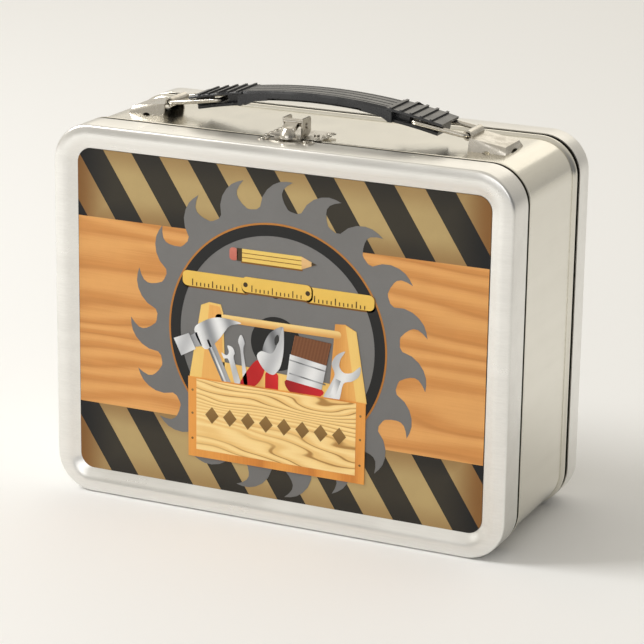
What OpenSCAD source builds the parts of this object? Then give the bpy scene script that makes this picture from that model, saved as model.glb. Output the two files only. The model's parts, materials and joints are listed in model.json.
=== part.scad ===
// Metal lunch box: two pressed steel covers on a beaded band, a hinged front,
// a snap hasp and a moulded strap handle that rises on two wire bails.
// Frame: origin under the middle of the box, front towards -Y, +Z up, millimetres.

/* [Box] */
// Width of the covers, left to right
box_w = 222; // [200:1:240]
// Height of the covers
box_h = 174; // [160:1:190]
// Depth of the closed box, front crest to rear crest
box_d = 96; // [92:1:110]
// Corner radius of the covers, seen from the front
corner_r = 18; // [16:1:22]
// Thickness of the steel sheet
sheet = 0.5; // [0.4:0.1:0.6]

/* [Covers] */
// Length of the front cover's skirt
front_skirt = 15.8; // [15.5:0.1:16.2]
// How far the ring's rounding reaches each way from its crest
crest_round = 3.6; // [2:0.2:4.2]
// How far the rounding reaches each way from the skirt's crease
crease_round = 1.3; // [0.8:0.1:1.6]
// Length of the rear cover's skirt
rear_skirt = 12.4; // [12:0.1:13]
// Width of the outer facet of the frame round each face
facet_w = 5.5; // [5:0.1:5.8]
// How far the facet rises from the crease to the crest
facet_rise = 1; // [0.6:0.1:1.4]
// Width of the bevel that leads down to the picture panel
bevel_w = 6; // [5.5:0.1:6.2]
// Depth of the picture recess below the crest
recess = 3.4; // [2.8:0.1:4]

/* [Band] */
// How far the band's wall lies inside the covers' outline
band_inset = 1.2; // [1:0.1:1.3]
// Half width of each rolled bead
bead_half = 2.2; // [2:0.1:2.4]
// Gap between the front skirt and the front bead
front_gap = 1.3; // [1.2:0.1:1.6]
// Gap between the rear bead and the rear skirt
rear_gap = 2; // [1.6:0.1:2.4]

/* [Handle] */
// Half length of the moulded handle
handle_half = 62; // [61:0.5:62]
// Height of the handle's top above the covers, at its middle
handle_rise = 16.3; // [15.5:0.1:18]
// Radius of the handle's arch
arch_r = 270; // [270:5:300]
// Half width of the ribbed ends
handle_y = 10; // [9.9:0.1:10.5]
// Radius of the bail wire
wire_r = 1.1; // [0.9:0.05:1.15]

/* [Latch] */
// Sideways place of the hasp
latch_x = -1; // [-6:0.5:6]
// Radius of each pierced lobe along the latch plates' ends
lobe_r = 2.1; // [1.8:0.1:2.2]

/* [Hinges] */
// Distance of each hinge from the middle of the box
hinge_x = 60; // [50:1:70]
// Half length of each hinge
hinge_half = 10; // [8:0.5:12]

/* [Hidden] */
$fn = 48;
eps = 0.01;

tin = [0.80, 0.79, 0.76];
nickel = [0.74, 0.72, 0.68];
black = [0.10, 0.10, 0.11];
print_tan = [0.72, 0.58, 0.36];

// Depth stations
crease_y = box_d/2 - facet_rise;
front_edge_y = -crease_y + front_skirt;
rear_edge_y = crease_y - rear_skirt;
front_bead_y = front_edge_y + front_gap + bead_half;
rear_bead_y = rear_edge_y - rear_gap - bead_half;
panel_y = box_d/2 - recess;
front_neck = 4.8;
rear_neck = 6.4;

// Radii measured from the corner centres
band_r = corner_r - band_inset;
crest_r = corner_r - facet_w;
bevel_r = crest_r - bevel_w;
panel_lap = 1.5;

band_top = box_h - band_inset;
picture_t = 0.4;
foot_round = 0.4;
picture_gap = 0.05;
picture_flare = 0.35;

// Handle stations
arch_top = box_h + handle_rise;
grip_half = 36;
grip_t = 4.3;
grip_y = 9;
end_h = 6.6;
top_flange = 1.2;
low_flange = 1.7;
low_flange_y = 6.8;
web_y = 4.5;
rib_pitch = 4.8;
rib_first = 37.5;
rib_count = 5;
rib_w = 1.1;
rib_h = 0.7;
slot_in = 45.2;
slot_out = 56.6;
groove_y = [-6.3, -2.2, 2.2, 6.3];
groove_r = 0.55;

// Bail stations
curl_x = 73;
curl_z = box_h + 4.9;
bail_x = 47;
bail_drop = 0.38;
bail_z = arch_z(bail_x) - top_flange - (end_h - top_flange - low_flange)/2 - bail_drop;
bail_len = norm([curl_x - bail_x, bail_z - curl_z]);
bail_angle = atan2(bail_z - curl_z, curl_x - bail_x);
bail_y = 8.6;
bail_bend = 2.5;
curl_r = 2.3;
curl_bore = 1.5;
curl_half = 7.2;

// Bracket stations: the foot is wider than the top
bracket_t = 0.7;
bracket_in = 74.6;
foot_out = 92.3;
foot_y = 10.7;
top_in_z = box_h + 4.4;
top_out = 91.2;
top_out_z = box_h + 1.8;
top_in_y = 9.2;
top_out_y = 8.4;
tab_w = 3.2;
tab_x = [79, 87.5];
tab_gap = 0.1;
scallop_r = 2.6;

// Latch stations
plate_t = 0.5;
pivot_y = -23.8;
pivot_z = box_h + 5.3;
pin_r = 0.8;
pin_head_r = 1.3;
ear_x = 3.4;
ear_r = 2.5;
cheek_x = 4.6;
cheek_t = 0.7;
cheek_front = -28.7;
cheek_back = -19.9;
cheek_low = box_h + 1.2;
cheek_top = box_h + 9;
cheek_swing = 4.7;
boss_y = -33.3;
boss_low = box_h + 1.2;
boss_mid = box_h + 3.6;
boss_top = box_h + 5.5;
boss_r = [3.8, 3.3, 1.6];
wing_x = 6.6;
wing_t = 0.7;
knob_r = 1.4;
knob_z = box_h + 2.3;
keeper_front_y = -39.2;
keeper_back_y = -31.9;
keeper_x = 11;
base_front_y = -29.3;
base_back_y = -11;
base_x = 10.6;
base_pad_y = -25.3;
rivet_r = 0.9;
rivet_head_r = 1.3;
rivet_head_h = 0.6;
keeper_rivet = [9.2, -34.6];
base_rivet = [8.2, -20.6];

// Hinge stations
hinge_y = -30.7;
hinge_z = 1;
knuckle_r = 1;
knuckle_bore = 0.6;
hinge_pin_r = 0.52;
leaf_t = 0.5;
knuckle_mid = 4;
knuckle_gap = 0.3;
notch_half = hinge_half + 0.6;
band_leaf_back = -15;
cover_leaf_front = -42;
hinge_rivet_x = 6;
band_rivet_y = -19;
cover_rivet_y = -39.4;

// Height of the handle's arched top at x
function arch_z(x) = arch_top - arch_r + sqrt(arch_r*arch_r - x*x);
// Curve that rounds the corner p between points a and b, reaching d each way from it
function rounding(a, p, b, d, n) =
    let (start = p + d*unit(a - p), end = p + d*unit(b - p))
    [for (i = [0:n]) let (t = i/n) (1 - t)*(1 - t)*start + 2*t*(1 - t)*p + t*t*end];
function unit(v) = v/norm(v);
function left_of(a, b) = let (d = unit(b - a)) [-d[1], d[0]];
// The path's point i moved to its left by t, with a mitred corner
function moved(path, i, t) =
    let (last = len(path) - 1,
         before = left_of(path[max(i - 1, 0)], path[max(i, 1)]),
         after = left_of(path[min(i, last - 1)], path[min(i + 1, last)]),
         middle = unit(before + after))
    path[i] + middle*t/(middle*before);
// A sheet of thickness t whose outer face follows the path
function sheet_outline(path, t) =
    concat(path, [for (i = [len(path) - 1:-1:0]) moved(path, i, t)]);
// Arc of a bead on the band's wall, centred at y
function bead_points(y, n) =
    let (bulge_r = (bead_half*bead_half + band_inset*band_inset)/(2*band_inset),
         half_angle = asin(bead_half/bulge_r))
    [for (i = [0:n]) let (a = -half_angle + 2*half_angle*i/n)
        [corner_r - bulge_r + bulge_r*cos(a), y + bulge_r*sin(a)]];

// Sweeps a profile round the box: x is the distance from the corner centres, y is depth
module ring() {
    side_h = box_h - 2*corner_r;
    side_w = box_w - 2*corner_r;
    for (flip = [0, 1]) mirror([flip, 0, 0])
        translate([side_w/2, 0, corner_r]) linear_extrude(side_h) children();
    translate([side_w/2, 0, box_h - corner_r]) rotate([0, -90, 0]) linear_extrude(side_w) children();
    translate([-side_w/2, 0, corner_r]) rotate([0, 90, 0]) linear_extrude(side_w) children();
    for (i = [0:3])
        translate([(i < 2 ? 1 : -1)*side_w/2, 0, i == 0 || i == 3 ? corner_r : box_h - corner_r])
            rotate([0, -90*i, 0]) rotate([-90, 0, 0]) rotate_extrude(angle = 90) children();
}

// Flat plate with the box's outline at radius r from the corner centres
module face_plate(r, y, t) {
    half_w = box_w/2 - corner_r;
    translate([0, y + t, 0]) rotate([90, 0, 0]) linear_extrude(t) {
        translate([-half_w, corner_r - r]) square([2*half_w, box_h - 2*corner_r + 2*r]);
        translate([-half_w - r, corner_r]) square([2*(half_w + r), box_h - 2*corner_r]);
        for (x = [-half_w, half_w], z = [corner_r, box_h - corner_r]) translate([x, z]) circle(r);
    }
}

// Pressed cover with its face towards -Y
module cover_shell(skirt) {
    lap = [bevel_r - panel_lap, -panel_y];
    foot = [bevel_r, -panel_y];
    crest = [crest_r, -box_d/2];
    crease = [corner_r, -crease_y];
    edge = [corner_r, -crease_y + skirt];
    path = concat(
        [lap],
        rounding(lap, foot, crest, foot_round, 2),
        rounding(foot, crest, crease, crest_round - 1, 6),
        rounding(crest, crease, edge, crease_round, 4),
        [edge]);
    ring() polygon(sheet_outline(path, sheet));
    face_plate(bevel_r - panel_lap/2, -panel_y, sheet);
}

module upright(x, y, z0, z1, r) translate([x, y, z0]) cylinder(h = z1 - z0, r = r);
module crosswise(x0, x1, y, z, r) translate([x0, y, z]) rotate([0, 90, 0]) cylinder(h = x1 - x0, r = r);
// Part of a ring round the handle's arch, from x0 to x1; the child is drawn as [radius, width]
module arch_sector(x0, x1)
    translate([0, 0, arch_top - arch_r]) rotate([90, 0, 0]) rotate([0, 0, 90 - asin(x1/arch_r)])
        rotate_extrude(angle = asin(x1/arch_r) - asin(x0/arch_r)) children();
// Rectangle between two depths below the arch's top, with cut corners
module slab(depth0, depth1, half_y, cut) {
    top = arch_r - depth0;
    low = arch_r - depth1;
    polygon([[low + cut, -half_y], [top - cut, -half_y], [top, -half_y + cut], [top, half_y - cut],
             [top - cut, half_y], [low + cut, half_y], [low, half_y - cut], [low, -half_y + cut]]);
}
module block(low, high) translate(low) cube(high - low);

// Rivet through a stack, with a head above and one below
module rivet(x, y, z_low, z_high, foot) {
    upright(x, y, z_low - foot, z_high + rivet_head_h, rivet_r);
    upright(x, y, z_high, z_high + rivet_head_h, rivet_head_r);
    if (foot > 0) upright(x, y, z_low - foot, z_low, rivet_head_r);
}

module body_band() {
    path = concat(
        [[band_r, front_edge_y - front_neck]],
        bead_points(front_bead_y, 8),
        bead_points(rear_bead_y, 8),
        [[band_r, rear_bead_y + bead_half + 0.8],
         [corner_r - sheet - 0.05, rear_edge_y + 0.4],
         [corner_r - sheet - 0.05, rear_edge_y + rear_neck]]);
    color(tin) difference() {
        union() {
            ring() polygon(sheet_outline(path, sheet));
            // Lap where the strip's two ends meet
            block([-5, front_bead_y + 4, band_inset + sheet - eps],
                  [5, rear_bead_y - 4, band_inset + 2*sheet]);
            // Bead pressed flat behind each hinge
            for (side = [-1, 1])
                block([side*hinge_x - notch_half - 1, front_bead_y - bead_half + 0.6, band_inset],
                      [side*hinge_x + notch_half + 1, front_bead_y + bead_half + 1, band_inset + sheet]);
        }
        for (side = [-1, 1]) {
            block([side*hinge_x - notch_half, front_bead_y - bead_half - 7, -1],
                  [side*hinge_x + notch_half, front_bead_y - bead_half + 0.6, 6]);
            block([side*hinge_x - notch_half, front_bead_y - bead_half, -1],
                  [side*hinge_x + notch_half, front_bead_y + bead_half + 0.4, band_inset]);
            for (x = [-1, 1]) upright(side*hinge_x + x*hinge_rivet_x, band_rivet_y, 0, 6, rivet_r + 0.02);
            for (x = tab_x, y = [-1, 1])
                translate([side*x, y*(foot_y - bracket_t/2), 0])
                    block([-tab_w/2 - tab_gap, -bracket_t/2 - tab_gap, band_top - 2],
                          [tab_w/2 + tab_gap, bracket_t/2 + tab_gap, box_h]);
            upright(latch_x + side*base_rivet[0], base_rivet[1], band_top - 2, box_h, rivet_r + 0.02);
        }
    }
}

module rear_cover() color(tin) mirror([0, 1, 0]) cover_shell(rear_skirt);

module front_cover() color(tin) difference() {
    cover_shell(front_skirt);
    for (side = [-1, 1]) {
        // Notch in the skirt's edge that clears the knuckles
        block([side*hinge_x - notch_half, front_edge_y - 0.9, -1],
              [side*hinge_x + notch_half, front_edge_y + 1, 2]);
        for (x = [-1, 1]) upright(side*hinge_x + x*hinge_rivet_x, cover_rivet_y, -1, 2, rivet_r + 0.02);
        upright(latch_x + side*keeper_rivet[0], keeper_rivet[1], box_h - 2, box_h + 1, rivet_r + 0.02);
    }
    upright(latch_x, boss_y, box_h - 2, box_h + 1, rivet_r + 0.02);
}

// Thin plate whose edge flares out along the bevel
module front_picture_panel() color(print_tan) hull() {
    face_plate(bevel_r - foot_round - picture_gap, -panel_y - eps, eps);
    face_plate(bevel_r + picture_flare, -panel_y - picture_t, eps);
}

module handle_end() {
    arch_sector(grip_half - 0.5, handle_half) slab(0, top_flange, handle_y, 0.3);
    arch_sector(grip_half - 0.5, handle_half - 2) slab(end_h - low_flange, end_h, low_flange_y, 0.4);
    difference() {
        arch_sector(grip_half - 0.5, handle_half - 0.8)
            slab(top_flange - 0.2, end_h - low_flange + 0.2, web_y, 0.1);
        arch_sector(slot_in, slot_out) slab(top_flange, end_h - low_flange, web_y + 1, 0);
    }
    // Ribs across the end's top
    for (i = [0:rib_count - 1]) {
        x = rib_first + i*rib_pitch;
        translate([x, 0, arch_z(x)]) rotate([0, asin(x/arch_r), 0])
            block([-rib_w/2, -handle_y, -0.5], [rib_w/2, handle_y, rib_h]);
    }
    // Shoulder that curves down from the grip to the foot
    shoulder_x = grip_half - 13;
    shoulder_z = arch_z(shoulder_x) - grip_t;
    foot_z = arch_z(grip_half) - end_h;
    translate([0, grip_y, 0]) rotate([90, 0, 0]) linear_extrude(2*grip_y)
        polygon(concat(
            rounding([0, shoulder_z + 1], [grip_half - 3, shoulder_z - 1.2], [grip_half, foot_z], 4, 6),
            [[grip_half, foot_z], [grip_half + 1.6, foot_z], [grip_half + 1.6, arch_z(grip_half) - 1],
             [shoulder_x, shoulder_z + 1.2], [shoulder_x, shoulder_z]]));
}

module handle_grip() color(black) {
    arch_sector(-grip_half, grip_half) difference() {
        slab(0, grip_t, grip_y, 1);
        for (y = groove_y) translate([arch_r + 0.1, y]) circle(groove_r);
    }
    for (flip = [0, 1]) mirror([flip, 0, 0]) handle_end();
}

// Closed wire loop: one crossbar in the bracket's curl, the other in the handle's slot
module bail() {
    straight_y = bail_y - bail_bend;
    translate([curl_x, 0, curl_z]) rotate([0, bail_angle, 0]) mirror([1, 0, 0]) {
        for (x = [0, bail_len])
            translate([x, straight_y, 0]) rotate([90, 0, 0]) cylinder(h = 2*straight_y, r = wire_r);
        for (y = [-bail_y, bail_y])
            translate([bail_bend, y, 0]) rotate([0, 90, 0]) cylinder(h = bail_len - 2*bail_bend, r = wire_r);
        for (x = [0, 1], y = [-1, 1])
            translate([x == 0 ? bail_bend : bail_len - bail_bend, y*straight_y, 0])
                rotate([0, 0, x == 0 ? (y > 0 ? 90 : 180) : (y > 0 ? 0 : 270)])
                    rotate_extrude(angle = 90) translate([bail_bend, 0]) circle(wire_r);
    }
}

module bail_right() color(nickel) bail();
module bail_left() color(nickel) mirror([1, 0, 0]) bail();

// Wedge whose sides slope out from its top to its foot, shrunk by t on every side but the inner end
module wedge(t, inner, low) {
    hull() {
        block([inner, -foot_y + t, low], [foot_out - t, foot_y - t, low + eps]);
        block([inner, -top_in_y + t, top_in_z - t - eps], [inner + eps, top_in_y - t, top_in_z - t]);
        block([top_out - t, -top_out_y + t, top_out_z - t - eps],
              [top_out - t + eps, top_out_y - t, top_out_z - t]);
    }
}

// Pressed wedge with a curl at its inner end and clinched tabs through the band
module bracket() {
    difference() {
        union() {
            wedge(0, bracket_in, band_top);
            translate([curl_x, curl_half, curl_z]) rotate([90, 0, 0]) cylinder(h = 2*curl_half, r = curl_r);
        }
        wedge(bracket_t, bracket_in - 1, band_top - 1);
        translate([curl_x, curl_half + 1, curl_z]) rotate([90, 0, 0])
            cylinder(h = 2*curl_half + 2, r = curl_bore);
        // Scallops along the foot
        translate([(tab_x[0] + tab_x[1])/2, foot_y + 1, band_top - scallop_r + 0.9]) rotate([90, 0, 0])
            cylinder(h = 2*foot_y + 2, r = scallop_r);
        crosswise(foot_out - 3, foot_out + 1, 0, band_top - 9.1, 10);
    }
    for (x = tab_x, flip = [0, 1]) mirror([0, flip, 0]) {
        tab_low = band_top - sheet - 0.7;
        block([x - tab_w/2, foot_y - bracket_t, tab_low], [x + tab_w/2, foot_y, band_top + 0.1]);
        block([x - tab_w/2, foot_y - tab_w, tab_low], [x + tab_w/2, foot_y, tab_low + 0.6]);
    }
}

module bracket_right() color(nickel) bracket();
module bracket_left() color(nickel) mirror([1, 0, 0]) bracket();

// Row of pierced lobes along one end of a latch plate
module lobe_row(x, y0, y1, count) {
    for (i = [0:count - 1]) {
        y = y0 + (y1 - y0)*i/(count - 1);
        translate([x, y]) difference() {
            circle(lobe_r);
            translate([0.5*sign(x), 0]) circle(lobe_r*0.42);
        }
    }
}

// Ornate plate that bridges the bead and stands on a pad behind it, with two pivot ears
module latch_base() color(nickel) translate([latch_x, 0, box_h]) difference() {
    union() {
        linear_extrude(plate_t) {
            translate([-base_x, base_front_y]) square([2*base_x, base_back_y - base_front_y]);
            for (side = [-1, 1]) lobe_row(side*(base_x + 1.3), base_front_y + 2, base_back_y - 2, 4);
        }
        block([-base_x + 0.6, base_pad_y, -band_inset], [base_x - 0.6, base_back_y - 0.6, 0]);
        for (side = [-1, 1]) {
            x0 = side*ear_x - cheek_t/2;
            crosswise(x0, x0 + cheek_t, pivot_y, pivot_z - box_h, ear_r);
            block([x0, pivot_y - ear_r, 0], [x0 + cheek_t, pivot_y + ear_r, pivot_z - box_h]);
        }
    }
    crosswise(-10, 10, pivot_y, pivot_z - box_h, pin_r + 0.05);
    for (side = [-1, 1]) upright(side*base_rivet[0], base_rivet[1], -2, 2, rivet_r + 0.02);
}

module latch_base_rivets() color(nickel) for (side = [-1, 1])
    rivet(latch_x + side*base_rivet[0], base_rivet[1], band_top - sheet, box_h + plate_t, 0.5);

module latch_pin() color(nickel) {
    half = cheek_x + cheek_t/2 + 0.6;
    crosswise(latch_x - half, latch_x + half, pivot_y, pivot_z, pin_r);
    for (x = [-half, half - 0.5]) crosswise(latch_x + x, latch_x + x + 0.5, pivot_y, pivot_z, pin_head_r);
}

// Snap hasp: two square cheeks on the pin, a bar, and a faceted hollow boss with wings
module latch_hasp() color(nickel) translate([latch_x, 0, 0]) difference() {
    union() {
        for (side = [-1, 1]) {
            x0 = side*cheek_x - cheek_t/2;
            intersection() {
                crosswise(x0, x0 + cheek_t, pivot_y, pivot_z, cheek_swing);
                block([x0 - 1, cheek_front, box_h], [x0 + cheek_t + 1, cheek_back, cheek_top]);
            }
            block([x0, cheek_front, cheek_low], [x0 + cheek_t, pivot_y, cheek_top]);
        }
        // Rolled bar along the cheeks' top front edge
        crosswise(-cheek_x, cheek_x, cheek_front + 0.9, cheek_top - 1.3, 1.2);
        // Neck from the bar down to the boss
        translate([3, 0, 0]) rotate([0, -90, 0]) linear_extrude(6)
            polygon([[boss_mid, boss_y], [boss_top, boss_y], [cheek_top - 1.4, cheek_front],
                     [cheek_top - 1.4, cheek_front + 1], [cheek_top - 3.4, cheek_front + 1]]);
        // Wings
        translate([0, 0, boss_low]) linear_extrude(wing_t) {
            translate([-wing_x + 1, boss_y - 2]) square([2*wing_x - 2, 6]);
            for (side = [-1, 1]) translate([side*(wing_x - 1.6), boss_y + 1.2]) circle(2);
        }
        // Boss
        hull() {
            upright(0, boss_y, boss_low, boss_low + wing_t, boss_r[0]);
            translate([0, boss_y, boss_mid]) cylinder(h = eps, r = boss_r[1], $fn = 8);
            translate([0, boss_y, boss_top]) cylinder(h = eps, r = boss_r[2], $fn = 8);
        }
    }
    hull() {
        upright(0, boss_y, boss_low - 1, boss_low, boss_r[0] - 1.2);
        upright(0, boss_y, boss_mid, boss_mid + 0.4, boss_r[1] - 1);
    }
    crosswise(-10, 10, pivot_y, pivot_z, pin_r + 0.1);
}

// Plate on the front cover with a bowed front edge
module keeper_plate() color(nickel) translate([latch_x, 0, box_h]) difference() {
    linear_extrude(plate_t) {
        intersection() {
            translate([0, keeper_front_y + 12.6]) circle(12.6);
            translate([-keeper_x, keeper_front_y - 1])
                square([2*keeper_x, keeper_back_y - keeper_front_y + 1]);
        }
        for (side = [-1, 1]) lobe_row(side*keeper_x, keeper_back_y - 4.2, keeper_back_y - 1.9, 2);
    }
    for (side = [-1, 1]) upright(side*keeper_rivet[0], keeper_rivet[1], -1, 2, rivet_r + 0.02);
    upright(0, boss_y, -1, 2, rivet_r + 0.02);
}

module keeper_knob() color(nickel) translate([latch_x, boss_y, 0]) {
    translate([0, 0, knob_z]) sphere(knob_r);
    upright(0, 0, box_h - sheet - 0.5, knob_z, rivet_r);
    upright(0, 0, box_h - sheet - 0.5, box_h - sheet, rivet_head_r);
    upright(0, 0, box_h + plate_t, box_h + plate_t + 0.3, rivet_head_r);
}

module keeper_rivets() color(nickel) for (side = [-1, 1])
    rivet(latch_x + side*keeper_rivet[0], keeper_rivet[1], box_h - sheet, box_h + plate_t, 0.5);

module band_leaf(side) color(nickel) translate([side*hinge_x, 0, 0]) difference() {
    union() {
        for (end = [-1, 1]) {
            x0 = end > 0 ? knuckle_mid + knuckle_gap : -hinge_half;
            crosswise(x0, x0 + hinge_half - knuckle_mid - knuckle_gap, hinge_y, hinge_z, knuckle_r);
            block([x0, hinge_y, band_inset - leaf_t],
                  [x0 + hinge_half - knuckle_mid - knuckle_gap, hinge_y + 2, band_inset]);
        }
        block([-hinge_half, hinge_y + 1.4, band_inset - leaf_t], [hinge_half, band_leaf_back, band_inset]);
    }
    crosswise(-20, 20, hinge_y, hinge_z, knuckle_bore);
    for (x = [-1, 1]) upright(x*hinge_rivet_x, band_rivet_y, -1, 3, rivet_r + 0.02);
}

module cover_leaf(side) color(nickel) translate([side*hinge_x, 0, 0]) difference() {
    union() {
        crosswise(-knuckle_mid, knuckle_mid, hinge_y, hinge_z, knuckle_r);
        block([-knuckle_mid, hinge_y - 1.6, sheet], [knuckle_mid, hinge_y, sheet + leaf_t]);
        block([-hinge_half, cover_leaf_front, sheet], [hinge_half, hinge_y - 1.4, sheet + leaf_t]);
    }
    crosswise(-20, 20, hinge_y, hinge_z, knuckle_bore);
    for (x = [-1, 1]) upright(x*hinge_rivet_x, cover_rivet_y, -1, 3, rivet_r + 0.02);
}

module hinge_pin(side) color(nickel)
    crosswise(side*hinge_x - hinge_half, side*hinge_x + hinge_half, hinge_y, hinge_z, hinge_pin_r);

// Rivets of the band leaves, with their low heads outside
module hinge_band_rivets() color(nickel) for (side = [-1, 1], x = [-1, 1])
    translate([side*hinge_x + x*hinge_rivet_x, band_rivet_y, 0]) {
        upright(0, 0, band_inset - leaf_t - 0.5, band_inset + sheet + 0.5, rivet_r);
        upright(0, 0, band_inset - leaf_t - 0.5, band_inset - leaf_t, rivet_head_r);
        upright(0, 0, band_inset + sheet, band_inset + sheet + 0.5, rivet_head_r);
    }

// Rivets of the cover leaves, flush outside
module hinge_cover_rivets() color(nickel) for (side = [-1, 1], x = [-1, 1])
    translate([side*hinge_x + x*hinge_rivet_x, cover_rivet_y, 0]) {
        upright(0, 0, 0, sheet + leaf_t + 0.5, rivet_r);
        upright(0, 0, sheet + leaf_t, sheet + leaf_t + 0.5, rivet_head_r);
    }

body_band();
rear_cover();
front_cover();
front_picture_panel();
handle_grip();
bail_left();
bail_right();
bracket_left();
bracket_right();
latch_base();
latch_base_rivets();
latch_pin();
latch_hasp();
keeper_plate();
keeper_knob();
keeper_rivets();
band_leaf(-1);  // hinge_band_leaf_left
band_leaf(1);  // hinge_band_leaf_right
cover_leaf(-1);  // hinge_cover_leaf_left
cover_leaf(1);  // hinge_cover_leaf_right
hinge_pin(-1);  // hinge_pin_left
hinge_pin(1);  // hinge_pin_right
hinge_band_rivets();
hinge_cover_rivets();
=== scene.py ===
"""Looks of a pressed steel lunch box: covers, beaded band, picture panel, latch and handle."""

import json
import logging
import math
from dataclasses import dataclass, field
from enum import Enum

import bmesh
import bpy
import numpy as np
from mathutils import Matrix, Vector


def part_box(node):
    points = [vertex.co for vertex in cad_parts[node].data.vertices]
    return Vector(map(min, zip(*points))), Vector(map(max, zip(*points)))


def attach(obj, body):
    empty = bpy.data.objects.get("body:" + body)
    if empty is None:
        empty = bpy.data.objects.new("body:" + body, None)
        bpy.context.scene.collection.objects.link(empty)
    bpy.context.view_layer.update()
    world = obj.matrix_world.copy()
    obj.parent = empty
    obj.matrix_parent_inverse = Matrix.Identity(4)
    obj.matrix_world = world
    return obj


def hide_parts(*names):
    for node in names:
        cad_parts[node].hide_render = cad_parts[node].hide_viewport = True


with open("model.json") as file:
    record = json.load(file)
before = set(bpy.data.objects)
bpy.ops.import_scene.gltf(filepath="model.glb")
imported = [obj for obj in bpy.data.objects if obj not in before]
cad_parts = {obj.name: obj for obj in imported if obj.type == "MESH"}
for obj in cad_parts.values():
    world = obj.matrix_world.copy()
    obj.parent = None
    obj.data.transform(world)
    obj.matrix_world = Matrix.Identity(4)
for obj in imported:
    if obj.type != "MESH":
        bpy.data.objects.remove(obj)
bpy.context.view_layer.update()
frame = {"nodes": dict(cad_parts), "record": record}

LOG = logging.getLogger("lunch_box")
MM = 0.001


class Layer(Enum):
    """Printing order on the picture panel, from the sheet outwards."""

    PLANK = 1
    BLADE = 2
    HUB_LINE = 3
    HUB = 4
    HUB_FACE = 5
    SIGN = 6
    BACK = 7
    TOOL_LOW = 8
    TOOL = 9
    TOOL_TRIM = 10
    TOTE = 11
    TOTE_TRIM = 12
    TOTE_MARK = 13


# ---------------------------------------------------------------- meshes


def add_object(name: str, verts: np.ndarray, faces: list, body: str,
               material: bpy.types.Material) -> bpy.types.Object:
    """Makes one mesh object at the origin that rides on a body.

    Args:
        name: the piece's name.
        verts: n by 3 array in metres, in the frame's axes.
        faces: lists of vertex numbers, counter-clockwise from outside.
        body: the CAD body that the piece moves with.
        material: its finish.

    Returns:
        The new object.
    """
    mesh = bpy.data.meshes.new(name)
    mesh.from_pydata(verts.tolist(), [], faces)
    mesh.validate()
    mesh.materials.append(material)
    piece = bpy.data.objects.new(name, mesh)
    bpy.context.scene.collection.objects.link(piece)
    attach(piece, body)
    return piece


def recalc(piece: bpy.types.Object, sharp_deg: float) -> None:
    """Merges doubles, turns the faces outwards and shades them smooth up to an angle.

    Args:
        piece: the object whose mesh is put right.
        sharp_deg: edges that turn by more than this stay sharp.
    """
    work = bmesh.new()
    work.from_mesh(piece.data)
    bmesh.ops.remove_doubles(work, verts=work.verts, dist=1e-7)
    bmesh.ops.recalc_face_normals(work, faces=work.faces)
    work.to_mesh(piece.data)
    work.free()
    piece.data.shade_smooth()
    piece.data.set_sharp_from_angle(angle=math.radians(sharp_deg))


def grid_faces(rows: int, columns: int, wrap_rows: bool, wrap_columns: bool) -> np.ndarray:
    """Quads of a grid whose vertex number is row * columns + column.

    Args:
        rows: number of rows of vertices.
        columns: number of vertices in each row.
        wrap_rows: whether the last row joins the first.
        wrap_columns: whether the last column joins the first.

    Returns:
        k by 4 array of vertex numbers.
    """
    r = np.arange(rows if wrap_rows else rows - 1)[:, None]
    c = np.arange(columns if wrap_columns else columns - 1)[None, :]
    r_next, c_next = (r + 1) % rows, (c + 1) % columns
    row, row_next = r * columns, r_next * columns
    return np.stack([row + c, row + c_next, row_next + c_next, row_next + c], -1).reshape(-1, 4)


def sweep(profiles: np.ndarray, closed_path: bool = False) -> tuple[np.ndarray, list]:
    """Skins a stack of closed profiles and caps the two ends.

    Args:
        profiles: rows by columns by 3 array, one closed profile in each row.
        closed_path: whether the last profile joins the first.

    Returns:
        The vertices and the faces.
    """
    rows, columns, _ = profiles.shape
    faces = grid_faces(rows, columns, closed_path, True).tolist()
    if not closed_path:
        faces.append(list(range(columns)))
        faces.append(list(range((rows - 1) * columns, rows * columns))[::-1])
    return profiles.reshape(-1, 3), faces


def rounded_rect(half_a: float, half_b: float, radius: float, steps: int = 4) -> np.ndarray:
    """Outline of a rectangle with quarter-circle corners, counter-clockwise.

    Args:
        half_a: half the first side.
        half_b: half the second side.
        radius: corner radius.
        steps: segments in each corner.

    Returns:
        n by 2 array.
    """
    turn = np.linspace(0, np.pi / 2, steps + 1)
    corners = [(1, 1, 0.0), (-1, 1, 0.5), (-1, -1, 1.0), (1, -1, 1.5)]
    parts = [
        np.stack([sa * (half_a - radius) + radius * np.cos(turn + q * np.pi),
                  sb * (half_b - radius) + radius * np.sin(turn + q * np.pi)], -1)
        for sa, sb, q in corners
    ]
    return np.concatenate(parts)


def arc(cx: float, cz: float, radius: float, start: float, end: float, steps: int) -> np.ndarray:
    """Points on a circle from one angle to another, in degrees, both ends included.

    Args:
        cx: centre across.
        cz: centre up.
        radius: radius of the circle.
        start: first angle.
        end: last angle.
        steps: number of segments.

    Returns:
        n by 2 array.
    """
    turn = np.radians(np.linspace(start, end, steps + 1))
    return np.stack([cx + radius * np.cos(turn), cz + radius * np.sin(turn)], -1)


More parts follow.
